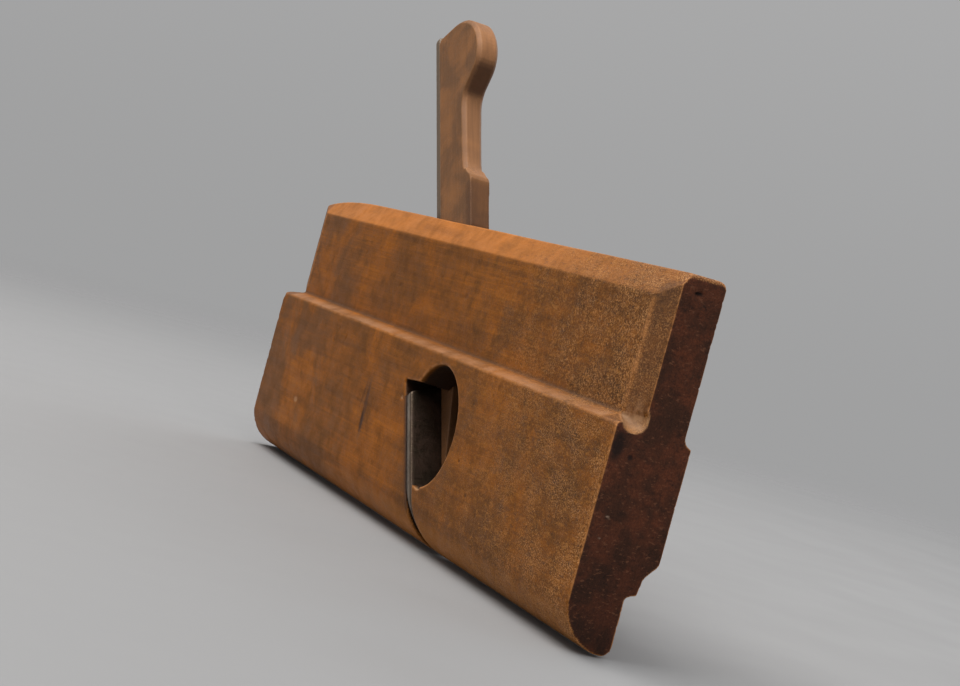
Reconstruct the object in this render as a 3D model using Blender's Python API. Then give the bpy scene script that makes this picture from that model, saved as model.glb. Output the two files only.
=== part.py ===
"""A wooden moulding plane that cuts a half-inch cove, with its wedge and iron.

Three pieces: the beech stock, the iron bedded at 55 degrees with its narrow tang
running up the mortise, and the wedge that jams the tang against the bed.

World frame: +X towards the toe, +Z up from the sole, -Y the side that the shavings
leave by.  The origin is on the sole's lowest line, in the middle of the length and
of the thickness.

Two working frames are used.  "Section" points are (y, z) across the stock, with y
measured inwards from the shaving side's lower face.  "Bed" points are (u, s): s runs
up the iron's face from the reference point, and u stands square off that face,
towards the toe.
"""

from math import cos, pi, radians, sin, tan

import bmesh
import bpy
from mathutils import Matrix, Vector

MM = 0.001

# Stock
LENGTH = 241.3  # nine and a half inches
HEIGHT = 87.95  # three and a half inches
THICK = 20.7  # lower part
UPPER_NEAR, UPPER_FAR = 4.8, 18.3  # faces of the thinner upper part
ROUND_R = 12.7  # the half-inch quarter round
TONGUE_Y = 14.3  # outer wall of the tongue that the round ends in
TONGUE_R = 2.6
STOP_Z, STOP_Y = 14.2, 17.0  # depth stop, facing down
LEDGE_OUT, LEDGE_IN = 52.1, 53.9  # sloped ledge on the shaving side
COVE_Z, COVE_R = 49.8, 2.6  # cove on the other side
CHAMFER_IN, CHAMFER_DOWN = 3.9, 6.45  # long chamfer along the top
END_ALONG, END_IN = 7.2, 2.25  # chamfers up both ends
GOUGE_R, GOUGE_Y, GOUGE_Z, GOUGE_LONG = 3.3, 4.6, 53.7, 7.6
TOE_R = 1.4  # eased end of the top at the toe
HEEL_LONG, HEEL_DROP = 40.0, 5.2  # hand-worn fall of the top towards the heel
HEEL_SHOULDER = 4.5  # rounded corner of the lower part

# Iron, wedge and the mortise that holds them
PITCH = radians(55)
REF_X, REF_Z = 6.31, 38.5  # a point of the iron's face
IRON_THICK, TANG_THICK = 3.1, 3.0
IRON_LOW, IRON_TOP = -47.2, 128.8  # along s: cutting edge, end of the tang
IRON_NEAR, IRON_FAR = 0.05, 15.1
TONGUE_FAR, TONGUE_S = 14.2, -28.0  # the cutting end is narrower, as wide as the tongue
TANG_NEAR = 9.6
SHOULDER_OUT, SHOULDER_IN = 1.4, 3.8
GRIND = radians(30)
WEDGE_NEAR, WEDGE_FAR, WEDGE_SPREAD = 9.3, 15.4, 0.018  # it thickens a little upwards
WEDGE_CHAMFER = 1.1
MORTISE_NEAR, MORTISE_FAR = 9.0, 15.75
GAP = 0.3
WEDGE_FRONT, WEDGE_KINK = 19.0, 48.0  # u of its front where it leaves the stock, and s there
WEDGE_SLOPE = 0.24
WEDGE_TIP = -25.0
WEDGE_TOP = 125.9

# Throat on the shaving side, seen square on: x and z
EYE_X, EYE_Z, EYE_R, EYE_TAPER = 23.7, 32.6, 16.8, 0.14
MOUTH = 0.4
ROOF = ((6.17, -3.15), (1.1, 5.5))  # (s, u) ends of the small roof over the shoulder

HALF = LENGTH / 2
BED = -(IRON_THICK + GAP)


def clear_scene():
    for obj in list(bpy.data.objects):
        bpy.data.objects.remove(obj, do_unlink=True)


def collection(name, hidden=False):
    made = bpy.data.collections.new(name)
    bpy.context.scene.collection.children.link(made)
    made.hide_render = hidden
    return made


def material(name, colour, roughness, metallic=0.0):
    made = bpy.data.materials.new(name)
    made.use_nodes = True
    shader = made.node_tree.nodes["Principled BSDF"]
    shader.inputs["Base Color"].default_value = (*colour, 1.0)
    shader.inputs["Roughness"].default_value = roughness
    shader.inputs["Metallic"].default_value = metallic
    made.diffuse_color = (*colour, 1.0)
    return made


def arc(cx, cy, r, start, end, steps):
    """Points from angle start to angle end, both in degrees."""
    return [
        (
            cx + r * cos(radians(start + (end - start) * i / steps)),
            cy + r * sin(radians(start + (end - start) * i / steps)),
        )
        for i in range(steps + 1)
    ]


def spline(points, steps):
    """A smooth run through the points (Catmull-Rom), ends included."""
    ends = [points[0], *points, points[-1]]
    made = []
    for a, b, c, d in zip(ends, ends[1:], ends[2:], ends[3:]):
        for i in range(steps):
            t = i / steps
            made.append(
                tuple(
                    0.5
                    * (
                        2 * b[k]
                        + (c[k] - a[k]) * t
                        + (2 * a[k] - 5 * b[k] + 4 * c[k] - d[k]) * t * t
                        + (3 * b[k] - a[k] - 3 * c[k] + d[k]) * t**3
                    )
                    for k in (0, 1)
                )
            )
    return [*made, points[-1]]


def flat_mesh(name, outline, thickness):
    """A filled 2D curve in XY, extruded by the thickness about z = 0, as a welded mesh."""
    curve = bpy.data.curves.new(name, "CURVE")
    curve.dimensions = "2D"
    curve.fill_mode = "BOTH"
    curve.extrude = thickness * MM / 2
    line = curve.splines.new("POLY")
    line.points.add(len(outline) - 1)
    for point, (a, b) in zip(line.points, outline):
        point.co = (a * MM, b * MM, 0, 1)
    line.use_cyclic_u = True
    holder = bpy.data.objects.new(name + "_outline", curve)
    bpy.context.scene.collection.objects.link(holder)
    graph = bpy.context.evaluated_depsgraph_get()
    mesh = bpy.data.meshes.new_from_object(holder.evaluated_get(graph))
    mesh.name = name
    bpy.data.objects.remove(holder, do_unlink=True)
    bpy.data.curves.remove(curve)
    shape = bmesh.new()
    shape.from_mesh(mesh)
    bmesh.ops.remove_doubles(shape, verts=shape.verts, dist=1e-6)
    bmesh.ops.dissolve_limit(
        shape, angle_limit=0.001, verts=shape.verts, edges=shape.edges
    )
    bmesh.ops.recalc_face_normals(shape, faces=shape.faces)
    shape.to_mesh(mesh)
    shape.free()
    return mesh


def upright(mesh, low, high):
    """Turns an XY outline's mesh so that its XY becomes XZ, spanning low to high in Y."""
    mesh.transform(Matrix.Rotation(pi / 2, 4, "X"))
    mesh.transform(Matrix.Translation((0, (low + high) / 2 * MM, 0)))
    return mesh


def add(name, mesh, into, matrix=None):
    obj = bpy.data.objects.new(name, mesh)
    into.objects.link(obj)
    if matrix is not None:
        obj.matrix_world = matrix
    return obj


def as_cutter(obj):
    obj.hide_render = True
    obj.display_type = "WIRE"
    return obj


def cut(obj, cutter):
    boolean = obj.modifiers.new(cutter.name, "BOOLEAN")
    boolean.operation = "DIFFERENCE"
    boolean.solver = "EXACT"
    boolean.object = cutter


def front_of_wedge(s):
    return WEDGE_FRONT + WEDGE_SLOPE * (s - WEDGE_KINK)


def bed_line(s):
    """u of the bed: the iron thins towards its tang, and the bed follows its back."""
    thinning = (IRON_THICK - TANG_THICK) / (IRON_TOP - IRON_LOW)
    return BED + thinning * (s - IRON_LOW)


# Where section y = 0 lies in the world, and the frame of the bed
ACROSS = Matrix.Translation((0, -THICK / 2 * MM, 0))
BED_FRAME = Matrix.Translation(
    (REF_X * MM, -THICK / 2 * MM, REF_Z * MM)
) @ Matrix.Rotation(PITCH - pi / 2, 4, "Y")


def sole_outline(lift=0.0):
    """Section of the round and the tongue, from the shaving side's face to the depth stop."""
    quarter = arc(ROUND_R, ROUND_R + lift, ROUND_R, 180, 265.4, 16)
    corner = arc(TONGUE_Y - TONGUE_R, TONGUE_R + lift, TONGUE_R, 275, 360, 6)
    return quarter + corner


def stock_outline():
    depth_stop = [(TONGUE_Y, STOP_Z), (STOP_Y, STOP_Z + 0.7)]
    ogee = arc(19.6, 18.0, 2.25, 180, 125, 4) + arc(17.7, 23.6, 3.0, -60, 0, 5)
    cove = arc(UPPER_FAR + COVE_R, COVE_Z + COVE_R, COVE_R, 266, 180, 6)
    cove[0] = (THICK, COVE_Z)
    top = arc(UPPER_FAR - 1.5, HEIGHT - 1.5, 1.5, 0, 90, 3)
    chamfer = [
        (UPPER_NEAR + CHAMFER_IN, HEIGHT),
        (UPPER_NEAR, HEIGHT - CHAMFER_DOWN),
    ]
    ledge = [(UPPER_NEAR, LEDGE_IN), (0.35, LEDGE_OUT + 0.1), (0, LEDGE_OUT - 0.3)]
    return sole_outline() + depth_stop + ogee + cove + top + chamfer + ledge


def make_stock(parts, cutters, wood):
    mesh = flat_mesh("stock", stock_outline(), LENGTH)
    # XY of the outline becomes YZ
    mesh.transform(Matrix(((0, 0, 1, 0), (1, 0, 0, 0), (0, 1, 0, 0), (0, 0, 0, 1))))
    mesh.materials.append(wood)
    stock = add("stock", mesh, parts, ACROSS)

    made = []
    for side, end in (("toe", 1), ("heel", -1)):
        # chamfer up the end, seen from above
        along, across = END_ALONG * 1.3, END_IN * 1.3
        x0 = end * (HALF - along)
        x1 = end * (HALF + END_ALONG * 0.3)
        y0 = UPPER_NEAR + END_IN - across
        y1 = UPPER_NEAR + END_IN * 1.3
        low = LEDGE_IN + 0.05
        plan = [(x0, y0), (x1, y1), (x1, 3.0), (x0, 3.0)]
        prism = flat_mesh("end_chamfer_" + side, plan, 40)
        prism.transform(Matrix.Translation((0, 0, (low + 20) * MM)))
        made.append(add("end_chamfer_" + side, prism, cutters, ACROSS))

        # the gouge's stop at the chamfer's foot: a cone lying along the stock
        depth = GOUGE_LONG + 1.0
        shape = bmesh.new()
        bmesh.ops.create_cone(
            shape,
            cap_ends=True,
            segments=24,
            radius1=GOUGE_R * depth / GOUGE_LONG * MM,
            radius2=0.02 * MM,
            depth=depth * MM,
        )
        cone = bpy.data.meshes.new("gouge_" + side)
        shape.to_mesh(cone)
        shape.free()
        middle = end * (HALF + 1.0 - depth / 2)
        made.append(
            add(
                "gouge_" + side,
                cone,
                cutters,
                ACROSS
                @ Matrix.Translation((middle * MM, GOUGE_Y * MM, GOUGE_Z * MM))
                @ Matrix.Rotation(-end * pi / 2, 4, "Y"),
            )
        )

        # rounded upper corner of the end, and of the lower part's shoulder
        if end > 0:
            corners = [("top_toe", TOE_R, TOE_R, HEIGHT, 3.0, 22.0)]
        else:
            corners = [
                ("top_heel", HEEL_LONG, HEEL_DROP, HEIGHT, 3.0, 22.0),
                ("shoulder_heel", HEEL_SHOULDER, HEEL_SHOULDER, LEDGE_IN, -1.0, 4.7),
            ]
        for name, along, down, z, low_y, high_y in corners:
            over = 3.0
            curve = [
                (end * (HALF - along * (1 - a)), z - down * (1 - b))
                for a, b in arc(0, 0, 1, 90, 0, 12 if along > 10 else 6)
            ]
            curve += [
                (end * (HALF + over), z - down),
                (end * (HALF + over), z + over),
                (end * (HALF - along), z + over),
            ]
            corner = upright(flat_mesh(name, curve, high_y - low_y), low_y, high_y)
            made.append(add(name, corner, cutters, ACROSS))

    # slot for the iron's wide end, open on the shaving side and through the tongue
    (roof_s, _), roof_front = ROOF
    slot = [
        (bed_line(-60), -60),
        (bed_line(roof_s), roof_s),
        (roof_front[1], roof_front[0]),
        (roof_front[1] + 0.5, -7.0),
        (MOUTH, -14.0),
        (MOUTH, -60),
    ]
    mesh = upright(flat_mesh("iron_slot", slot, MORTISE_FAR + 2), -2, MORTISE_FAR)
    made.append(add("iron_slot", mesh, cutters, BED_FRAME))

    # mortise for tang and wedge, from the throat to the top
    low, high = WEDGE_TIP - 0.6, 78
    mortise = [
        (bed_line(low), low),
        (front_of_wedge(low) + 2 * GAP, low),
        (front_of_wedge(high) + GAP, high),
        (bed_line(high), high),
    ]
    width = MORTISE_FAR - MORTISE_NEAR
    mesh = upright(flat_mesh("mortise", mortise, width), MORTISE_NEAR, MORTISE_FAR)
    made.append(add("mortise", mesh, cutters, BED_FRAME))

    # throat: a slightly tapered round bore, kept in front of the bed
    depth = MORTISE_FAR + 1.0
    shape = bmesh.new()
    bmesh.ops.create_cone(
        shape,
        cap_ends=True,
        segments=72,
        radius1=(EYE_R + EYE_TAPER) * MM,
        radius2=(EYE_R - EYE_TAPER * MORTISE_FAR) * MM,
        depth=depth * MM,
    )
    shape.transform(
        Matrix.Translation((EYE_X * MM, (depth / 2 - 1.0) * MM, EYE_Z * MM))
        @ Matrix.Rotation(-pi / 2, 4, "X")
    )
    ahead = Vector((sin(PITCH), 0, cos(PITCH)))
    behind = Vector((REF_X * MM, 0, REF_Z * MM)) - 2.6 * MM * ahead
    geom = shape.verts[:] + shape.edges[:] + shape.faces[:]
    rim = bmesh.ops.bisect_plane(
        shape, geom=geom, plane_co=behind, plane_no=ahead, clear_inner=True
    )["geom_cut"]
    bmesh.ops.contextual_create(
        shape, geom=[e for e in rim if isinstance(e, bmesh.types.BMEdge)]
    )
    bmesh.ops.recalc_face_normals(shape, faces=shape.faces)
    throat = bpy.data.meshes.new("throat")
    shape.to_mesh(throat)
    shape.free()
    made.append(add("throat", throat, cutters, ACROSS))

    for cutter in made:
        cut(stock, as_cutter(cutter))
    return stock


def make_iron(parts, cutters, steel):
    """The blank seen square on to its face, then thinned towards the tang and ground to the sole."""
    face = [
        (IRON_NEAR, -52),
        (TONGUE_FAR, -52),
        (TONGUE_FAR, TONGUE_S - 1.2),
        (IRON_FAR, TONGUE_S + 0.3),
        (IRON_FAR, IRON_TOP - 0.8),
        (IRON_FAR - 0.8, IRON_TOP),
        (TANG_NEAR + 0.8, IRON_TOP),
        (TANG_NEAR, IRON_TOP - 0.8),
        (TANG_NEAR, SHOULDER_IN + 1.4),
        (TANG_NEAR - 0.9, SHOULDER_IN),
        (IRON_NEAR + 1.0, SHOULDER_OUT),
        (IRON_NEAR, SHOULDER_OUT - 0.8),
    ]
    mesh = flat_mesh("iron", face, IRON_THICK)
    # outline XY becomes YZ, and the face lies at u = 0
    mesh.transform(Matrix(((0, 0, 1, 0), (1, 0, 0, 0), (0, 1, 0, 0), (0, 0, 0, 1))))
    mesh.transform(Matrix.Translation((-IRON_THICK / 2 * MM, 0, 0)))
    thinning = (IRON_THICK - TANG_THICK) / (IRON_TOP - IRON_LOW)
    for vertex in mesh.vertices:
        if vertex.co.x < -IRON_THICK / 2 * MM:
            vertex.co.x += thinning * (vertex.co.z - IRON_LOW * MM)
    mesh.materials.append(steel)
    iron = add("iron", mesh, parts, BED_FRAME)

    # ground to the sole's section at the face and relieved behind it
    sole = sole_outline(lift=0.05)
    below = [(-5, sole[0][1] + 8), (-0.4, sole[0][1] + 8), (-0.4, sole[0][1])]
    below += sole + [(sole[-1][0] + 4, sole[-1][1]), (sole[-1][0] + 4, -25), (-5, -25)]
    grind = flat_mesh("grind", below, 90)
    grind.transform(Matrix(((0, 0, 1, 0), (1, 0, 0, 0), (0, 1, 0, 0), (0, 0, 0, 1))))
    edge_x = REF_X + REF_Z / tan(PITCH)  # where the face meets the sole
    grind.transform(Matrix.Translation((edge_x * MM, 0, 0)))
    rise = tan(PITCH - GRIND)
    lean = 1 / tan(PITCH)
    grind.transform(
        Matrix(
            (
                (1, 0, 0, 0),
                (0, 1, 0, 0),
                (-rise, 0, 1 - rise * lean, rise * edge_x * MM),
                (0, 0, 0, 1),
            )
        )
    )
    cut(iron, as_cutter(add("grind", grind, cutters, ACROSS)))
    return iron


def wedge_outline():
    """(u, s) of the wedge, from its tip up the front, over the head and down the back."""
    shoulder = [(WEDGE_FRONT, WEDGE_KINK), (19.3, 63.4), (18.8, 65.0)]
    neck = spline([(17.4, 66.8), (16.1, 69.4), (15.5, 73.0), (15.4, 80.0)], 4)
    head = spline(
        [
            (15.4, 91.8),
            (15.8, 94.6),
            (17.3, 97.0),
            (20.2, 98.9),
            (23.3, 101.3),
            (25.2, 104.8),
            (25.6, 109.0),
            (24.4, 114.1),
            (21.7, 118.8),
            (17.8, 122.5),
            (13.2, 125.0),
            (9.0, WEDGE_TOP),
        ],
        3,
    )
    back = [(1.5, WEDGE_TOP), (GAP, WEDGE_TOP - 1.0)]
    tip = [(GAP, WEDGE_TIP + 0.6), (front_of_wedge(WEDGE_TIP) - 0.6, WEDGE_TIP)]
    tip.append((front_of_wedge(WEDGE_TIP + 1.5), WEDGE_TIP + 1.5))
    return tip + shoulder + neck + head + back


def make_wedge(parts, wood):
    width = WEDGE_FAR - WEDGE_NEAR
    mesh = upright(flat_mesh("wedge", wedge_outline(), width), WEDGE_NEAR, WEDGE_FAR)
    shape = bmesh.new()
    shape.from_mesh(mesh)
    for vertex in shape.verts:
        if vertex.co.y > (WEDGE_NEAR + WEDGE_FAR) / 2 * MM:
            vertex.co.y += WEDGE_SPREAD * (vertex.co.z - WEDGE_KINK * MM)
    shape.normal_update()
    # chamfer both front corners from the shoulder to the top of the head
    rims = []
    for edge in shape.edges:
        a, b = (v.co / MM for v in edge.verts)
        if abs(a.y - b.y) > 0.5:
            continue
        if min(a.z, b.z) > 68 and min(a.x, b.x) > 8.9 and len(edge.link_faces) == 2:
            rims.append(edge)
    bmesh.ops.bevel(
        shape,
        geom=rims,
        offset=WEDGE_CHAMFER * MM,
        offset_type="OFFSET",
        segments=1,
        affect="EDGES",
        clamp_overlap=False,
    )
    bmesh.ops.recalc_face_normals(shape, faces=shape.faces)
    shape.to_mesh(mesh)
    shape.free()
    mesh.materials.append(wood)
    return add("wedge", mesh, parts, BED_FRAME)


def shade(obj, angle):
    obj.data.shade_smooth()
    obj.data.set_sharp_from_angle(angle=radians(angle))


def main():
    clear_scene()
    parts = collection("moulding_plane")
    cutters = collection("cutters", hidden=True)
    beech = material("beech_stock", (0.30, 0.14, 0.055), 0.55)
    dark_beech = material("beech_wedge", (0.24, 0.13, 0.07), 0.6)
    steel = material("iron_steel", (0.16, 0.15, 0.145), 0.42, 1.0)
    shade(make_stock(parts, cutters, beech), 25)
    shade(make_iron(parts, cutters, steel), 30)
    shade(make_wedge(parts, dark_beech), 30)


main()
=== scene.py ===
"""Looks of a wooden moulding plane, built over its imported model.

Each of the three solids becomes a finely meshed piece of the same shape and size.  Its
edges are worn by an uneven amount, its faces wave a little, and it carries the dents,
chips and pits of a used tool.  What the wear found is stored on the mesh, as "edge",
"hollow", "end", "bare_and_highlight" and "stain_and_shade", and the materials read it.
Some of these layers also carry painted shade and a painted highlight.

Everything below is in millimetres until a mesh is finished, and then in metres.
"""

from math import cos, pi, radians, sin

import bpy
import numpy as np
from mathutils import Matrix, Vector


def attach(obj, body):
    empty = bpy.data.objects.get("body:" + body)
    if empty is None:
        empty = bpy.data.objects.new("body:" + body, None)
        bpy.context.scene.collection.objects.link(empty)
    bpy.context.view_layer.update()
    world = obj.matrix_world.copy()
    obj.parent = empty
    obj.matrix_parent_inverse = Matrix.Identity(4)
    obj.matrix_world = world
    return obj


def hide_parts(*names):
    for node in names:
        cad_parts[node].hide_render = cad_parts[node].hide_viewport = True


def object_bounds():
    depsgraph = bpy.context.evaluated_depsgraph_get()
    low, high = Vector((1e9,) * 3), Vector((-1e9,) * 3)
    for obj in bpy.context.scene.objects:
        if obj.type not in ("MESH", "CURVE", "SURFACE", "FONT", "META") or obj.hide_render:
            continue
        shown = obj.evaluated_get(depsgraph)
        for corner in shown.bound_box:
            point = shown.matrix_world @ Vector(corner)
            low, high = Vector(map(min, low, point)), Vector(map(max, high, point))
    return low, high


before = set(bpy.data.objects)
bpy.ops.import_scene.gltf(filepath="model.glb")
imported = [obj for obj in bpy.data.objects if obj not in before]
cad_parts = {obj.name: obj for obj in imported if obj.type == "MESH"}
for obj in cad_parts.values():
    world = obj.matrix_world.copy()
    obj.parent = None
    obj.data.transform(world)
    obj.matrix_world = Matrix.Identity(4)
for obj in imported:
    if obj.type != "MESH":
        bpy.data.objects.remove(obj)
cad_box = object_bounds()

MM = 0.001
NEAR_FACE = -10.35  # the shaving side's lower face
HALF = 120.65
TOP = 87.95
LEDGE = 53.0

# Frame of the bed: the iron's face passes through this point, 55 degrees up
BED_X, BED_Z, PITCH = 6.31, 38.5, radians(55)

# Fineness of each piece: voxel size, then the share of its faces that is kept
FINE = {"stock": (0.36, 0.3), "wedge": (0.25, 0.4), "iron": (0.25, 0.4)}
COARSE = 1.0


# ---------------------------------------------------------------- noise and meshes


def noise(points, size, seed, octaves=3):
    """Smooth noise from -1 to 1 at the points, with features of about that size."""
    total, weight, share = np.zeros(len(points)), 0.0, 1.0
    for octave in range(octaves):
        at = points / (np.asarray(size, float) / 2**octave) + 17.3 * octave
        base = np.floor(at).astype(np.int64)
        part = at - base
        part = part * part * (3 - 2 * part)
        layer = np.zeros(len(points))
        for corner in range(8):
            step = np.array([corner & 1, corner >> 1 & 1, corner >> 2 & 1])
            cell = base + step
            mixed = (
                cell[:, 0] * 73856093
                ^ cell[:, 1] * 19349663
                ^ cell[:, 2] * 83492791
                ^ (seed * 7919 + octave) * 2654435761
            ) & 0xFFFFFFFF
            mixed = (mixed ^ mixed >> 13) * 1274126177 & 0xFFFFFFFF
            value = ((mixed ^ mixed >> 16) & 0xFFFF) / 32767.5 - 1
            layer += value * np.where(step, part, 1 - part).prod(axis=1)
        total += share * layer
        weight += share
        share *= 0.5
    return total / weight


def ramp(value, low, high):
    """0 below low, 1 above high, smooth between."""
    t = np.clip((value - low) / (high - low), 0, 1)
    return t * t * (3 - 2 * t)


def read(mesh, what, size, kind=np.float32):
    values = np.empty(len(getattr(mesh, what[0])) * size, kind)
    getattr(mesh, what[0]).foreach_get(what[1], values)
    return values.reshape(-1, size) if size > 1 else values


def evaluated_mesh(obj):
    graph = bpy.context.evaluated_depsgraph_get()
    return bpy.data.meshes.new_from_object(obj.evaluated_get(graph))


def smoothed(points, edges, rounds):
    """The points after that many rounds of moving each half way to its neighbours' mean."""
    a, b = edges[:, 0], edges[:, 1]
    n = len(points)
    count = np.maximum(np.bincount(a, minlength=n) + np.bincount(b, minlength=n), 1)
    for _ in range(rounds):
        mean = np.stack(
            [
                np.bincount(a, points[b, k], n) + np.bincount(b, points[a, k], n)
                for k in range(3)
            ],
            axis=1,
        )
        points = points + 0.5 * (mean / count[:, None] - points)
    return points


class Piece:
    """A fine copy of a CAD solid, held as arrays while it is worn and marked."""

    def __init__(self, node, name):
        self.node, self.name = node, name
        voxel, self.keep = FINE[node]
        self.voxel = voxel * COARSE
        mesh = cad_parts[node].data.copy()
        mesh.materials.clear()
        mesh.transform(Matrix.Scale(1 / MM, 4))
        self.obj = bpy.data.objects.new(name, mesh)
        bpy.context.scene.collection.objects.link(self.obj)
        weld = self.obj.modifiers.new("weld", "WELD")
        weld.merge_threshold = 1e-3
        remesh = self.obj.modifiers.new("fine", "REMESH")
        remesh.mode = "VOXEL"
        remesh.voxel_size = self.voxel
        fine = evaluated_mesh(self.obj)
        self.obj.modifiers.clear()
        self.obj.data = fine
        self.edges = read(fine, ("edges", "vertices"), 2, np.int32)
        self.at = read(fine, ("vertices", "co"), 3).astype(float)
        self.at = smoothed(self.at, self.edges, 1)
        self.layers = {}
        self.settle()

    def settle(self):
        self.obj.data.vertices.foreach_set("co", self.at.astype(np.float32).ravel())
        self.obj.data.update()
        self.normal = read(self.obj.data, ("vertex_normals", "vector"), 3).astype(float)

    def wear(self, reach, least, most, seed, patch=11.0):
        """Rounds the edges by an uneven amount and notes where they are."""
        rounds = max(2, round((reach / self.voxel) ** 2 * 3))
        soft = smoothed(self.at, self.edges, rounds)
        out = ((soft - self.at) * self.normal).sum(axis=1)
        self.layers["edge"] = ramp(-out, 0.035 * reach, 0.30 * reach)
        wide = smoothed(soft, self.edges, rounds * 4)
        sunk = ((wide - self.at) * self.normal).sum(axis=1)
        self.layers["hollow"] = ramp(sunk, 0.04 * reach, 0.55 * reach)
        amount = 0.5 + 0.5 * noise(self.at, patch, seed)
        amount = amount + 0.22 * noise(self.at, 1.7, seed + 1, 2)
        amount = least + (most - least) * np.clip(amount, 0, 1)
        convex = out < 0
        self.at += (soft - self.at) * (amount * np.where(convex, 1, 0.5))[:, None]
        self.settle()

    def push(self, depth):
        """Moves the surface in by this depth, which is one number for each point."""
        self.at -= self.normal * depth[:, None]

    def spot(self, centre, radii, lean=0.0, plane="xz"):
        """1 at the centre of an ellipse and 0 outside it, for faces that look along the third axis."""
        i, j = ("xyz".index(c) for c in plane)
        k = 3 - i - j
        a, b = self.at[:, i] - centre[i], self.at[:, j] - centre[j]
        a, b = a * cos(lean) + b * sin(lean), b * cos(lean) - a * sin(lean)
        far = (a / radii[0]) ** 2 + (b / radii[1]) ** 2
        close = np.abs(self.at[:, k] - centre[k]) < 2.5
        return np.where(close, np.clip(1 - far, 0, 1) ** 2, 0)

    def layer(self, name, values):
        self.layers[name] = np.clip(values, 0, 1)

    def finish(self, body):
        """Writes the layers on the mesh, thins it where it is flat, and hands it to the frame."""
        self.settle()
        mesh = self.obj.data
        for name, values in self.layers.items():
            made = mesh.attributes.new(name, "FLOAT", "POINT")
            made.data.foreach_set("value", values.astype(np.float32))
        thin = self.obj.modifiers.new("thin", "DECIMATE")
        thin.ratio = self.keep
        mesh = evaluated_mesh(self.obj)
        self.obj.modifiers.clear()
        self.obj.data = mesh
        # the waves and dents never stand out of the object's own box
        low, high = (np.array(corner) / MM for corner in cad_box)
        inside = np.clip(read(mesh, ("vertices", "co"), 3), low, high)
        mesh.vertices.foreach_set("co", inside.astype(np.float32).ravel())
        mesh.transform(Matrix.Scale(MM, 4))
        mesh.shade_smooth()
        mesh.name = self.name
        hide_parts(self.node)
        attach(self.obj, body)
        print(self.name, len(mesh.polygons), "faces")
        return self.obj


# ---------------------------------------------------------------- materials


def rgb(r, g, b):
    """Linear colour of an sRGB one given in 0..255."""
    values = [v / 255 for v in (r, g, b)]
    return (
        *(v / 12.92 if v <= 0.04045 else ((v + 0.055) / 1.055) ** 2.4 for v in values),
        1.0,
    )


class Recipe:
    """Short names for the nodes of one material."""

    def __init__(self, name):
        self.material = bpy.data.materials.new(name)
        self.material.use_nodes = True
        self.tree = self.material.node_tree
        self.shader = self.tree.nodes["Principled BSDF"]
        place = self.tree.nodes.new("ShaderNodeTexCoord")
        self.place = place.outputs["Object"]

    def put(self, socket, value):
        if isinstance(value, bpy.types.NodeSocket):
            self.tree.links.new(value, socket)
        else:
            socket.default_value = value

    def sum(self, how, a, b=0.0, clamp=False):
        node = self.tree.nodes.new("ShaderNodeMath")
        node.operation = how
        node.use_clamp = clamp
        self.put(node.inputs[0], a)
        self.put(node.inputs[1], b)
        return node.outputs[0]

    def space(self, scale, turn=0.0, shift=(0, 0, 0)):
        """Object space with this many cells to a millimetre, after a turn about Y."""
        turned = self.tree.nodes.new("ShaderNodeMapping")
        turned.inputs["Location"].default_value = shift
        turned.inputs["Rotation"].default_value = (0, turn, 0)
        self.put(turned.inputs["Vector"], self.place)
        scaled = self.tree.nodes.new("ShaderNodeMapping")
        scaled.inputs["Scale"].default_value = [1000 * s for s in scale]
        self.put(scaled.inputs["Vector"], turned.outputs[0])
        return scaled.outputs[0]

    def noise(self, scale, detail=3.0, rough=0.5, warp=0.0, turn=0.0, shift=(0, 0, 0)):
        node = self.tree.nodes.new("ShaderNodeTexNoise")
        scale = (scale,) * 3 if isinstance(scale, float) else scale
        self.put(node.inputs["Vector"], self.space(scale, turn, shift))
        node.inputs["Scale"].default_value = 1.0
        node.inputs["Detail"].default_value = detail
        node.inputs["Roughness"].default_value = rough
        node.inputs["Distortion"].default_value = warp
        return node.outputs["Fac"]

    def ramp(self, value, low, high, to_low=0.0, to_high=1.0):
        node = self.tree.nodes.new("ShaderNodeMapRange")
        node.interpolation_type = "SMOOTHSTEP"
        self.put(node.inputs["Value"], value)
        for socket, number in zip(list(node.inputs)[1:5], (low, high, to_low, to_high)):
            socket.default_value = number
        return node.outputs[0]

    def mix(self, factor, a, b, how="MIX"):
        node = self.tree.nodes.new("ShaderNodeMix")
        node.data_type = "RGBA"
        node.blend_type = how
        self.put(node.inputs[0], factor)
        self.put(node.inputs[6], a)
        self.put(node.inputs[7], b)
        return node.outputs[2]

    def shade(self, colour, value, low, high):
        """The colour made darker or lighter: multiplied by a grey that runs from low to high."""
        node = self.tree.nodes.new("ShaderNodeMapRange")
        self.put(node.inputs["Value"], value)
        node.inputs["To Min"].default_value = low
        node.inputs["To Max"].default_value = high
        node.clamp = False
        return self.mix(1.0, colour, node.outputs[0], "MULTIPLY")

    def layer(self, name):
        node = self.tree.nodes.new("ShaderNodeAttribute")
        node.attribute_name = name
        return node.outputs["Fac"]

    def axis(self, letter):
        """Object space along that axis, in millimetres."""
        node = self.tree.nodes.new("ShaderNodeSeparateXYZ")
        self.put(node.inputs[0], self.place)
        return self.sum("MULTIPLY", node.outputs["XYZ".index(letter)], 1000.0)

    def bump(self, height, depth, strength=1.0, before=None):
        """depth is the height of the full range, in millimetres."""
        node = self.tree.nodes.new("ShaderNodeBump")
        node.inputs["Strength"].default_value = strength
        node.inputs["Distance"].default_value = depth * MM
        self.put(node.inputs["Height"], height)
        if before is not None:
            self.put(node.inputs["Normal"], before)
        return node.outputs[0]

    def done(self, colour, roughness, normal, metallic=0.0, specular=0.5):
        self.put(self.shader.inputs["Base Color"], colour)
        self.put(self.shader.inputs["Roughness"], roughness)
        self.put(self.shader.inputs["Normal"], normal)
        self.put(self.shader.inputs["Metallic"], metallic)
        self.shader.inputs["Specular IOR Level"].default_value = specular
        return self.material


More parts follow.
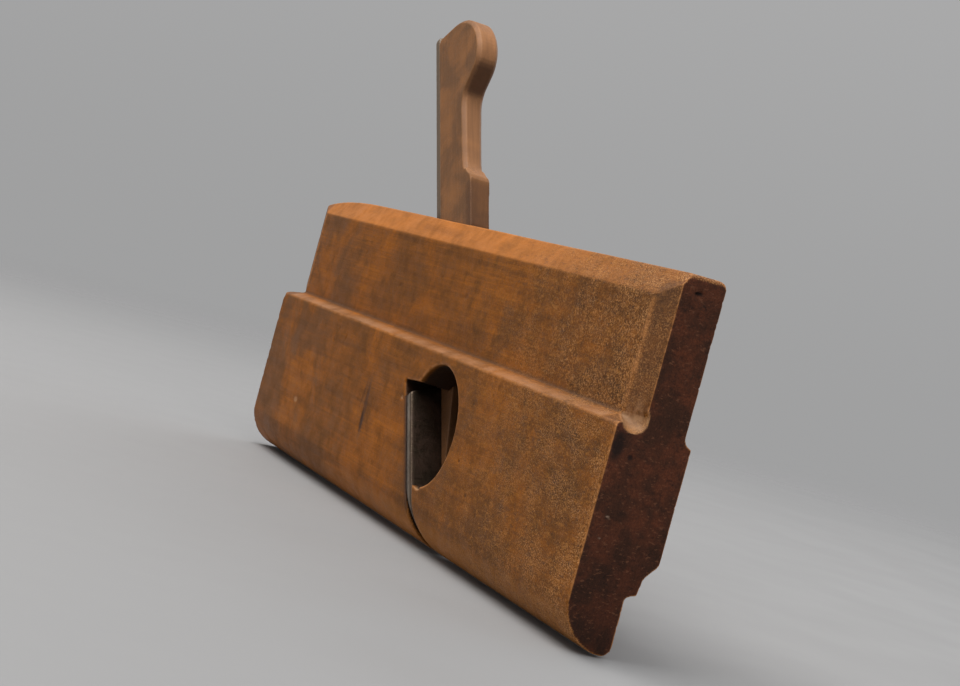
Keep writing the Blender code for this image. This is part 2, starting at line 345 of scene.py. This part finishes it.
def old_beech():
    """Handled beech: orange brown, smudged, flecked across the grain, dark on its end grain."""
    m = Recipe("old_beech")
    edge, hollow, end = m.layer("edge"), m.layer("hollow"), m.layer("end")
    smudge = m.noise(0.045, 4.0, 0.6, 0.6)
    cloud = m.noise(0.17, 3.0, 0.6, 0.3, shift=(0.3, 0.1, 0.2))
    grain = m.noise((0.028, 0.9, 0.9), 4.0, 0.6, 0.4)
    line = m.noise((0.05, 2.6, 2.6), 2.0, 0.55, 0.2, shift=(0.2, 0.8, 0.5))
    rays = m.noise((1.5, 1.5, 0.16), 3.0, 0.55)
    speck = m.noise(1.9, 4.0, 0.75)
    along = m.axis("X")
    patchy = m.ramp(m.noise(0.11, 4.0, 0.65, shift=(0.9, 0.6, 0.1)), 0.36, 0.60, 0.25, 1.0)
    calm = m.sum("SUBTRACT", 1.0, m.sum("MULTIPLY", m.layer("slant"), 0.55))
    toe = m.sum("MULTIPLY", m.sum("MULTIPLY", m.ramp(along, 5.0, 128.0), patchy), calm)
    mottle = m.noise((0.55, 1.0, 1.0), 4.0, 0.7, 0.5, shift=(0.5, 0.4, 0.3))
    fringe = m.ramp(along, 108.0, 121.0)

    colour = m.mix(m.ramp(smudge, 0.32, 0.66), rgb(150, 84, 0), rgb(114, 66, 12))
    colour = m.mix(m.ramp(cloud, 0.45, 0.75, 0.0, 0.45), colour, rgb(82, 53, 22))
    band = m.noise((0.007, 0.28, 0.28), 3.0, 0.5, 0.6, shift=(0.6, 0.1, 0.7))
    colour = m.shade(colour, m.ramp(band, 0.30, 0.70), 0.86, 1.12)
    colour = m.shade(colour, grain, 0.68, 1.32)
    colour = m.shade(colour, line, 0.68, 1.32)
    colour = m.shade(colour, rays, 0.88, 1.12)
    colour = m.shade(colour, m.ramp(speck, 0.34, 0.66), 0.84, 1.17)

    # grey from the hand towards the heel
    held = m.sum("MULTIPLY", m.ramp(along, -118.0, -30.0, 0.42, 0.0), m.ramp(smudge, 0.40, 0.58, 0.35, 1.0))
    colour = m.mix(held, colour, rgb(98, 68, 44))

    # painted light: the faces that look up, the top and its chamfer, are made lighter, less so towards the toe
    top = m.sum("MULTIPLY", m.layer("crown"), m.ramp(cloud, 0.3, 0.7, 1.0, 0.6))
    top = m.sum("MULTIPLY", top, m.ramp(along, 60.0, 120.0, 1.0, 0.55))
    colour = m.mix(m.sum("MULTIPLY", top, 0.6), colour, rgb(206, 128, 60))
    colour = m.mix(m.sum("MULTIPLY", m.layer("slant"), 0.55), colour, rgb(112, 78, 56))

    # the sole is cleaner than the sides, most of all towards the toe
    clean = m.sum("MULTIPLY", m.layer("sole"), m.ramp(along, -70.0, 50.0, 0.2, 1.0))
    colour = m.mix(m.sum("MULTIPLY", clean, 0.55), colour, rgb(196, 124, 48))
    # and the top's arris at the toe is rubbed down to red wood
    lip = m.sum("MULTIPLY", top, m.ramp(along, 118.4, 120.2))
    colour = m.mix(m.sum("MULTIPLY", lip, 0.9), colour, rgb(132, 76, 50))

    # darker towards the toe; then dry, raised fibres near the toe: light specks between dark ones
    colour = m.shade(colour, m.ramp(along, 10.0, 112.0), 1.0, 0.72)
    spread = m.sum("MULTIPLY", m.ramp(along, -20.0, 90.0), calm)
    colour = m.mix(m.sum("MULTIPLY", m.ramp(mottle, 0.52, 0.66), m.sum("MULTIPLY", spread, 0.5)), colour, rgb(172, 112, 46))
    colour = m.mix(m.sum("MULTIPLY", m.ramp(mottle, 0.34, 0.47, 1.0, 0.0), m.sum("MULTIPLY", spread, 0.55)), colour, rgb(76, 50, 32))
    fibre = m.noise(2.6, 3.0, 0.8, shift=(0.7, 0.2, 0.4))
    light = m.sum("MULTIPLY", m.ramp(fibre, 0.50, 0.60), toe)
    dark = m.sum("MULTIPLY", m.ramp(fibre, 0.36, 0.47, 1.0, 0.0), toe)
    colour = m.mix(m.sum("ADD", m.sum("MULTIPLY", light, 0.8), m.sum("MULTIPLY", light, m.sum("MULTIPLY", fringe, 0.3)), clamp=True), colour, rgb(200, 144, 88))
    colour = m.mix(m.sum("MULTIPLY", dark, 0.68), colour, rgb(50, 32, 18))

    # worn edges, grime in the corners
    worn = m.sum("MAXIMUM", edge, m.sum("MULTIPLY", m.layer("ridge"), 0.8))
    worn = m.sum("MULTIPLY", worn, m.ramp(m.noise(0.35, 4.0, 0.7), 0.28, 0.58))
    colour = m.mix(m.sum("MULTIPLY", worn, 0.85), colour, rgb(204, 138, 82))
    rubbed = m.sum("MULTIPLY", m.layer("shelf"), m.ramp(m.noise(0.12, 4.0, 0.6), 0.3, 0.65, 0.15, 0.62))
    colour = m.mix(rubbed, colour, rgb(176, 128, 92))
    colour = m.mix(m.sum("MULTIPLY", hollow, 0.65), colour, rgb(66, 44, 28))
    # dark stains and dents, and the painted shade along the iron's bed
    colour = m.mix(m.layer("stain_and_shade"), colour, rgb(60, 40, 30))
    colour = m.mix(m.layer("bare_and_highlight"), colour, rgb(205, 160, 118))

    # end grain: dark and reddish, with flat growth rings and thin rays
    ring = m.noise((0.05, 0.12, 1.1), 3.0, 0.5, 0.5)
    thin = m.noise((0.4, 3.2, 0.5), 2.0, 0.5)
    ends = m.mix(m.ramp(cloud, 0.35, 0.65), rgb(92, 48, 28), rgb(64, 37, 24))
    ends = m.shade(ends, ring, 0.78, 1.22)
    # darker towards the bottom
    ends = m.shade(ends, m.ramp(m.axis("Z"), 4.0, 40.0), 0.68, 1.0)
    ends = m.shade(ends, thin, 0.85, 1.15)
    ends = m.shade(ends, m.ramp(speck, 0.34, 0.66), 0.75, 1.3)
    nicks = m.noise((1.0, 0.7, 1.6), 2.0, 0.6, shift=(0.1, 0.5, 0.9))
    ends = m.mix(m.ramp(nicks, 0.60, 0.70, 0.0, 0.5), ends, rgb(128, 82, 58))
    ends = m.mix(m.ramp(nicks, 0.30, 0.38, 0.5, 0.0), ends, rgb(30, 19, 14))
    ends = m.mix(m.sum("MULTIPLY", worn, 0.30), ends, rgb(150, 98, 70))
    ends = m.mix(m.layer("stain_and_shade"), ends, rgb(24, 16, 14))
    ends = m.mix(m.layer("bare_and_highlight"), ends, rgb(180, 150, 128))
    colour = m.mix(end, colour, ends)
    # painted shade: near black inside the throat, slot and mortise
    colour = m.mix(m.sum("MULTIPLY", m.layer("inside"), 0.93), colour, rgb(24, 15, 9))

    roughness = m.ramp(m.sum("ADD", m.sum("MULTIPLY", speck, 0.4), cloud), 0.4, 1.0, 0.42, 0.66)
    normal = m.bump(m.noise((0.05, 1.1, 1.1), 4.0, 0.6), 0.10, 0.6)
    normal = m.bump(speck, 0.14, 0.8, normal)
    normal = m.bump(m.sum("MULTIPLY", fibre, toe), 0.22, 0.8, normal)
    return m.done(colour, roughness, normal, specular=0.18)


def wedge_beech():
    """The wedge: greyer and paler, with its grain up its length."""
    m = Recipe("wedge_beech")
    turn = PITCH - pi / 2
    edge, hollow = m.layer("edge"), m.layer("hollow")
    smudge = m.noise(0.08, 4.0, 0.6, 0.5)
    grain = m.noise((1.1, 1.1, 0.04), 4.0, 0.6, 0.4, turn=-turn)
    rays = m.noise((0.5, 2.2, 1.4), 3.0, 0.5, turn=-turn)
    speck = m.noise(2.1, 3.0, 0.7)
    colour = m.mix(m.ramp(smudge, 0.36, 0.64), rgb(138, 92, 52), rgb(110, 75, 45))
    colour = m.shade(colour, grain, 0.72, 1.28)
    colour = m.shade(colour, rays, 0.9, 1.1)
    colour = m.shade(colour, speck, 0.8, 1.2)
    worn = m.sum("MULTIPLY", edge, m.ramp(m.noise(0.4, 4.0, 0.7), 0.3, 0.6))
    colour = m.mix(m.sum("MULTIPLY", worn, 0.7), colour, rgb(206, 156, 108))
    colour = m.mix(m.sum("MULTIPLY", hollow, 0.5), colour, rgb(70, 48, 36))
    colour = m.mix(m.sum("MULTIPLY", m.layer("bare_and_highlight"), 0.40), colour, m.shade(rgb(176, 124, 84), grain, 0.6, 1.4))
    # the dark front in the mortise, with painted shade under the head and on the snout
    colour = m.mix(m.layer("stain_and_shade"), colour, rgb(74, 46, 28))
    colour = m.mix(m.layer("end"), colour, m.shade(rgb(112, 72, 50), speck, 0.6, 1.4))
    roughness = m.ramp(speck, 0.3, 0.7, 0.44, 0.66)
    normal = m.bump(grain, 0.12, 0.7)
    normal = m.bump(speck, 0.10, 0.7, normal)
    return m.done(colour, roughness, normal, specular=0.25)


def old_steel():
    """Blade steel gone brown and black, bright where it is ground or rubbed, and along a painted highlight down
    its near edge.
    """
    m = Recipe("old_steel")
    turn = PITCH - pi / 2
    edge = m.layer("edge")
    bloom = m.noise(0.16, 5.0, 0.65, 0.4)
    pits = m.noise(1.4, 4.0, 0.7)
    drag = m.noise((0.6, 0.25, 4.0), 3.0, 0.6, turn=-turn)
    colour = m.mix(m.ramp(bloom, 0.4, 0.62), rgb(78, 66, 55), rgb(66, 48, 36))
    colour = m.shade(colour, drag, 0.8, 1.2)
    colour = m.mix(m.ramp(pits, 0.58, 0.7, 0.0, 0.7), colour, rgb(40, 28, 24))
    colour = m.mix(m.sum("MULTIPLY", m.layer("dry"), 0.8), colour, rgb(108, 88, 68))
    # bright steel at the bevel and the rubbed edges, and the painted highlight down the near edge
    rubbed = m.sum("MAXIMUM", m.sum("MULTIPLY", edge, 0.08), m.layer("bare_and_highlight"))
    rubbed = m.sum("MULTIPLY", rubbed, m.ramp(m.noise(0.5, 3.0, 0.6), 0.1, 0.5))
    colour = m.mix(rubbed, colour, rgb(176, 160, 142))
    rust = m.sum("SUBTRACT", 1.0, m.ramp(bloom, 0.44, 0.66, 0.0, 0.6))
    rust = m.sum("MULTIPLY", rust, m.sum("SUBTRACT", 1.0, m.sum("MULTIPLY", m.layer("dry"), 0.85)))
    metal = m.sum("MAXIMUM", rust, rubbed)
    roughness = m.ramp(m.sum("ADD", pits, m.sum("MULTIPLY", rubbed, -0.4)), 0.2, 0.7, 0.3, 0.62)
    normal = m.bump(drag, 0.03, 0.6)
    normal = m.bump(pits, 0.08, 0.7, normal)
    return m.done(colour, roughness, normal, metal)


def pale_floor():
    """A pale matt floor that fades out far from the object, so that it has no horizon."""
    m = Recipe("pale_floor")
    colour = m.mix(m.noise(0.004, 3.0), rgb(154, 154, 155), rgb(151, 151, 152))
    normal = m.bump(m.noise(0.8, 2.0), 0.05, 0.3)
    m.done(colour, m.ramp(m.noise(0.02, 2.0), 0.3, 0.7, 0.6, 0.75), normal, specular=0.2)
    length = m.tree.nodes.new("ShaderNodeVectorMath")
    length.operation = "LENGTH"
    m.put(length.inputs[0], m.place)
    fade = m.ramp(length.outputs["Value"], 0.28, 0.95)
    clear = m.tree.nodes.new("ShaderNodeBsdfTransparent")
    both = m.tree.nodes.new("ShaderNodeMixShader")
    m.put(both.inputs[0], fade)
    m.put(both.inputs[1], m.shader.outputs[0])
    m.put(both.inputs[2], clear.outputs[0])
    m.put(m.tree.nodes["Material Output"].inputs["Surface"], both.outputs[0])
    return m.material


# ---------------------------------------------------------------- the pieces


def up_bed(points):
    """(u, s) of the points: off the iron's face, and up it."""
    dx, dz = points[:, 0] - BED_X, points[:, 2] - BED_Z
    return (
        dx * sin(PITCH) + dz * cos(PITCH),
        -dx * cos(PITCH) + dz * sin(PITCH),
    )


def make_stock():
    piece = Piece("stock", "plane_stock")
    end = ramp(np.abs(piece.normal[:, 0]), 0.90, 0.97) * (
        np.abs(piece.at[:, 0]) > HALF - 1.6
    )
    piece.wear(0.5, 0.0, 0.8, 3)
    at = piece.at
    # hand-worn waves, then dents
    piece.push(0.07 * noise(at, (45, 30, 22), 5, 2) + 0.02 * noise(at, 5.0, 6, 2))
    stain_and_shade, bare_and_highlight = np.zeros(len(at)), np.zeros(len(at))
    for centre, radii, lean, plane, depth, dark, pale in MARKS:
        found = piece.spot(centre, radii, radians(lean), plane)
        piece.push(depth * found)
        stain_and_shade += dark * ramp(found, 0.0, 0.7)
        bare_and_highlight += pale * ramp(found, 0.0, 0.7)
    # small dents scattered over the toe and the sides
    scatter = np.random.default_rng(11)
    for i in range(110):
        on_end = i < 64
        if on_end:
            centre = (
                HALF if i % 3 else -HALF,
                scatter.uniform(-8.5, 6.5),
                scatter.uniform(6, 84),
            )
            plane = "yz"
        else:
            near = i % 2
            high = scatter.uniform() < 0.45
            y = (-5.55 if high else NEAR_FACE) if near else (7.95 if high else 10.35)
            z = scatter.uniform(56, 78) if high else scatter.uniform(26, 48)
            centre, plane = (scatter.uniform(-112, 112), y, z), "xz"
        size = scatter.uniform(0.35, 1.1)
        found = piece.spot(
            centre, (size, size * scatter.uniform(0.5, 1.8)), scatter.uniform(0, pi), plane
        )
        piece.push(scatter.uniform(0.06, 0.22) * found)
        stain_and_shade += scatter.uniform(0.0, 0.5) * found
    # small chips along the arrises of both ends
    rim = np.flatnonzero((piece.layers["edge"] > 0.7) & (np.abs(at[:, 0]) > HALF - 0.9))
    for index in scatter.choice(rim, 110):
        size = scatter.uniform(0.4, 1.0) * (1.25 if at[index, 1] < -3 else 0.8)
        gone = scatter.uniform(0.05, 0.22) * (1.4 if at[index, 1] < -3 else 0.8)
        far = np.linalg.norm(at - at[index], axis=1) / size
        piece.push(gone * np.clip(1 - far**2, 0, 1) ** 2)
    # painted shade: the wood inside the throat, slot and mortise is made near black
    x, y, z = at[:, 0], at[:, 1], at[:, 2]
    u, s = up_bed(at)
    bore = np.hypot(x - 23.7, z - 32.6) < 17.8
    slot = (u > -4.3) & (u < np.where(s < -26, 1.2, 20.5 + 0.24 * (s - 48)))
    low = np.where(bore & (u > 1.0), ramp(y, -10.1, -8.6), ramp(y, -10.25, -9.7))
    low = low * ramp(-z, -51.6, -51.0) * ramp(z, 3.0, 5.0)
    # the round itself, and the tongue's outer wall, aren't inside
    low = low * np.where((z < 12.7) & (y < 2.35), np.hypot(y - 2.35, z - 12.7) < 12.0, 1)
    low = low * np.where(z < 15.0, y < 3.3, 1)
    high = ramp(y, -4.9, -3.0) * ramp(-z, -86.8, -82.0) * ramp(z, 50.0, 50.5)
    inside = np.maximum(low, high) * ramp(-y, -6.6, -6.2) * (bore | slot)
    # painted shade: a dark line along the edge that the iron is bedded against
    stain_and_shade += 0.8 * np.exp(-(((u + 3.5) / 0.6) ** 2)) * (s < 1) * ramp(-y, 9.2, 9.9)
    bedded = (np.abs(u + 3.4) < 1.3) & (s < 8) & (y < 5)
    piece.layer("edge", piece.layers["edge"] * np.where(bedded, 0.15, 1))
    # ridge and face of the chamfers up both ends
    on_side = ramp(-y, 5.0, 5.3) * ramp(z, 54.5, 56.5)
    ridge = np.exp(-(((np.abs(x) - 113.45) / 0.85) ** 2)) * on_side * ramp(-z, -81.5, -80.5)
    ridge *= 0.45 + 0.55 * ramp(noise(at, (4.0, 4.0, 7.0), 12, 3), -0.3, 0.4)
    shelf = ramp(z, 51.9, 52.3) * ramp(-z, -54.0, -53.2) * ramp(-y, 5.7, 6.6)
    # the strip of the ledge, palest at its outer arris
    shelf = shelf * ramp(-y, 5.6, 9.0) * ramp(-np.abs(x), -115.0, -112.0)
    piece.layer("ridge", ridge)
    # faces that look up, high on the stock, for the painted light on top
    piece.layer("crown", ramp(piece.normal[:, 2], 0.10, 0.45) * ramp(z, 72.0, 76.0))
    piece.layer("sole", ramp(-piece.normal[:, 2], 0.12, 0.6) * ramp(-z, -15.0, -11.0) * (y < 4.5))
    piece.layer("shelf", shelf)
    # bare wood where the gouge came out at both ends
    gouge = 3.3 * (np.abs(x) - 113.05) / 7.6
    scoop = np.abs(np.hypot(y + 5.75, z - 53.7) - gouge) < 0.35
    torn = 0.5 + 0.5 * noise(at, (3.0, 0.9, 0.9), 9, 3)
    bare_and_highlight += 0.42 * scoop * (gouge > 0.3) * (z < 54.5) * (1 - end) * (0.3 + 0.9 * torn)
    fade = ramp(-z, -61.0, -53.0) * ramp(z, 53.0, 53.6) * ramp(np.abs(x), 113.8, 115.5)
    torn = 0.5 + 0.5 * noise(at, (0.9, 0.9, 2.6), 10, 3)
    bare_and_highlight += 0.35 * fade * (1 - end) * (y < -2.0) * ramp(torn, 0.40, 0.62)
    piece.layer("slant", ramp(np.abs(x), 113.6, 114.6) * (1 - end) * ramp(-y, 3.0, 3.4) * ramp(z, 51.0, 52.0))
    piece.layer("inside", inside)
    piece.layer("end", end)
    piece.layer("stain_and_shade", stain_and_shade)
    piece.layer("bare_and_highlight", bare_and_highlight)
    obj = piece.finish("stock")
    obj.data.materials.append(old_beech())
    return obj


# Single marks of the stock: centre, radii, lean in degrees, plane, depth, dark, pale
MARKS = (
    ((-23.4, NEAR_FACE, 28.6), (2.0, 12.5), 5, "xz", 0.08, 0.55, 0.0),
    ((-23.8, NEAR_FACE, 24.6), (1.3, 5.0), 5, "xz", 0.06, 0.45, 0.0),
    ((-26.8, NEAR_FACE, 33.0), (1.1, 8.0), -12, "xz", 0.05, 0.30, 0.0),
    ((-82.5, NEAR_FACE, 20.9), (2.4, 1.3), 0, "xz", 0.08, 0.0, 0.35),
    ((47.8, NEAR_FACE, 27.7), (0.8, 0.6), 0, "xz", 0.30, 0.7, 0.0),
    ((56.6, NEAR_FACE, 20.4), (0.9, 0.6), 0, "xz", 0.30, 0.7, 0.0),
    ((65.0, NEAR_FACE, 17.2), (0.6, 0.9), 0, "xz", 0.25, 0.6, 0.0),
    ((47.5, NEAR_FACE, 43.0), (0.6, 0.7), 0, "xz", 0.20, 0.6, 0.0),
    ((26.4, NEAR_FACE, 16.0), (2.3, 1.1), 0, "xz", 0.90, 0.0, 0.8),
    ((1.1, NEAR_FACE, 36.4), (1.2, 0.8), 0, "xz", 0.25, 0.0, 0.4),
    ((HALF, 1.3, 83.9), (1.7, 0.7), 8, "yz", 0.80, 0.95, 0.0),
    ((HALF, -6.2, 31.1), (0.95, 0.28), -25, "yz", 0.35, 0.0, 1.0),
    ((HALF, -6.7, 26.2), (0.5, 0.18), 10, "yz", 0.20, 0.0, 0.8),
    ((HALF, -8.4, 47.2), (2.2, 4.6), 0, "yz", 0.10, 0.75, 0.0),
    ((HALF, -4.6, 45.0), (1.1, 1.0), 0, "yz", 0.30, 0.8, 0.0),
)


def make_wedge():
    piece = Piece("wedge", "plane_wedge")
    piece.wear(0.35, 0.0, 0.8, 21, 8.0)
    at = piece.at
    u, s = up_bed(at)
    piece.push(0.05 * noise(at, (16, 16, 30), 23, 2) + 0.02 * noise(at, 3.5, 24, 2))
    along = -piece.normal[:, 0] * cos(PITCH) + piece.normal[:, 2] * sin(PITCH)
    piece.layer("end", ramp(np.abs(along), 0.80, 0.97) * 0.5)
    # the front is dark and polished where it sits in the mortise
    front = 0.55 * ramp(-s, -64.5, -61.5) * ramp(u, 15.0, 18.0)
    # painted shade: the underside of its head, which faces down, is darkened
    under = ramp(-piece.normal[:, 2], -0.30, 0.15) * ramp(s, 88.0, 91.0) * ramp(u, 15.0, 16.5)
    under *= ramp(-np.abs(piece.normal[:, 1]), -0.85, -0.55)
    piece.layer("edge", piece.layers["edge"] * (0.1 + 0.3 * ramp(s, 58.0, 64.0) + 0.6 * ramp(s, 76.0, 80.0)))
    front = np.maximum(front, 0.75 * under)
    # painted shade: the snout, down in the throat, is darkened as well
    piece.layer("stain_and_shade", np.maximum(front, 0.5 * ramp(-s, -46.0, -38.0)))
    forward = piece.normal[:, 0] * sin(PITCH) + piece.normal[:, 2] * cos(PITCH)
    piece.layer("bare_and_highlight", ramp(forward, 0.3, 0.8) * ramp(s, 63.0, 68.0) * (1 - under))
    obj = piece.finish("wedge")
    obj.data.materials.append(wedge_beech())
    return obj


def make_iron():
    piece = Piece("iron", "plane_iron")
    piece.wear(0.9, 0.8, 1.0, 31, 6.0)
    at = piece.at
    u, s = up_bed(at)
    piece.push(0.02 * noise(at, 4.0, 33, 3))
    # ground bevel and the last part of the face are bright; down the near edge runs a painted highlight, a
    # bright band
    near = ramp(-piece.normal[:, 1], 0.90, 0.99) * np.exp(-(((u + 1.1) / 0.75) ** 2))
    near *= (0.45 + 0.25 * ramp(s, -22.0, 2.0)) * (1 - 0.7 * ramp(s, 40.0, 56.0))
    piece.layer("bare_and_highlight", np.maximum(ramp(-s, 38.0, 46.0) * 0.7, near * ramp(-s, -6.0, 0.0)))
    # the tang out in the air has a thin dry brown skin
    piece.layer("dry", ramp(s, 56.0, 66.0))
    obj = piece.finish("iron")
    obj.data.materials.append(old_steel())
    return obj


# ---------------------------------------------------------------- stage


def make_stage():
    mesh = bpy.data.meshes.new("floor")
    rings, spokes, reach = 24, 96, 4.0
    points = [(0.0, 0.0, 0.0)]
    for i in range(1, rings + 1):
        r = reach * (i / rings) ** 2
        points += [
            (r * cos(2 * pi * k / spokes), r * sin(2 * pi * k / spokes), 0.0)
            for k in range(spokes)
        ]
    faces = [(0, 1 + k, 1 + (k + 1) % spokes) for k in range(spokes)]
    for i in range(rings - 1):
        a, b = 1 + i * spokes, 1 + (i + 1) * spokes
        faces += [
            (a + k, b + k, b + (k + 1) % spokes, a + (k + 1) % spokes)
            for k in range(spokes)
        ]
    mesh.from_pydata(points, [], faces)
    mesh.materials.append(pale_floor())
    floor = bpy.data.objects.new("floor", mesh)
    floor.location.z = -0.0004
    bpy.context.scene.collection.objects.link(floor)

    world = bpy.data.worlds.new("studio")
    bpy.context.scene.world = world
    world.use_nodes = True
    # a soft gradient: a little brighter overhead than at the level of the floor
    tree = world.node_tree
    split = tree.nodes.new("ShaderNodeSeparateXYZ")
    place = tree.nodes.new("ShaderNodeTexCoord")
    tree.links.new(place.outputs["Generated"], split.inputs[0])
    rise = tree.nodes.new("ShaderNodeMapRange")
    rise.interpolation_type = "SMOOTHSTEP"
    rise.inputs["From Min"].default_value = -0.05
    rise.inputs["From Max"].default_value = 0.35
    tree.links.new(split.outputs["Z"], rise.inputs["Value"])
    blend = tree.nodes.new("ShaderNodeMix")
    blend.data_type = "RGBA"
    blend.inputs[6].default_value = (0.35, 0.35, 0.352, 1.0)
    blend.inputs[7].default_value = (0.42, 0.42, 0.422, 1.0)
    tree.links.new(rise.outputs[0], blend.inputs[0])
    tree.links.new(blend.outputs[2], tree.nodes["Background"].inputs["Color"])


def lamp(name, towards, distance, size, power, colour=(1.0, 1.0, 1.0)):
    """A soft square lamp on that side of the object, turned to it."""
    data = bpy.data.lights.new(name, "AREA")
    data.shape = "SQUARE"
    data.size = size
    data.energy = power
    data.color = colour
    made = bpy.data.objects.new(name, data)
    middle = Vector((0.0, 0.0, 0.06))
    towards = Vector(towards).normalized()
    made.location = middle + towards * distance
    made.rotation_mode = "QUATERNION"
    made.rotation_quaternion = (-towards).to_track_quat("-Z", "Y")
    bpy.context.scene.collection.objects.link(made)


def make_camera():
    data = bpy.data.cameras.new("camera")
    data.sensor_width = 36.0
    data.sensor_fit = "HORIZONTAL"
    data.lens = 67.886
    data.clip_start, data.clip_end = 0.01, 50.0
    camera = bpy.data.objects.new("camera", data)
    right = (0.399693, 0.878351, 0.262194)
    up = (-0.144213, -0.222219, 0.964272)
    back = (0.905234, -0.423225, 0.037851)
    camera.matrix_world = Matrix(
        (
            (right[0], up[0], back[0], 0.465700),
            (right[1], up[1], back[1], -0.208659),
            (right[2], up[2], back[2], 0.075895),
            (0, 0, 0, 1),
        )
    )
    bpy.context.scene.collection.objects.link(camera)
    bpy.context.scene.camera = camera


def main():
    make_camera()
    make_stage()
    lamp("key", (-0.15, -0.38, 0.91), 1.1, 0.8, 13.0, (1.0, 0.98, 0.95))
    lamp("front", (0.72, -0.12, 0.68), 1.2, 0.5, 2.5)
    lamp("back", (-0.5, 0.8, 0.6), 1.3, 0.9, 3.0)
    bpy.context.scene.view_settings.view_transform = "Standard"
    make_stock()
    make_wedge()
    make_iron()


main()
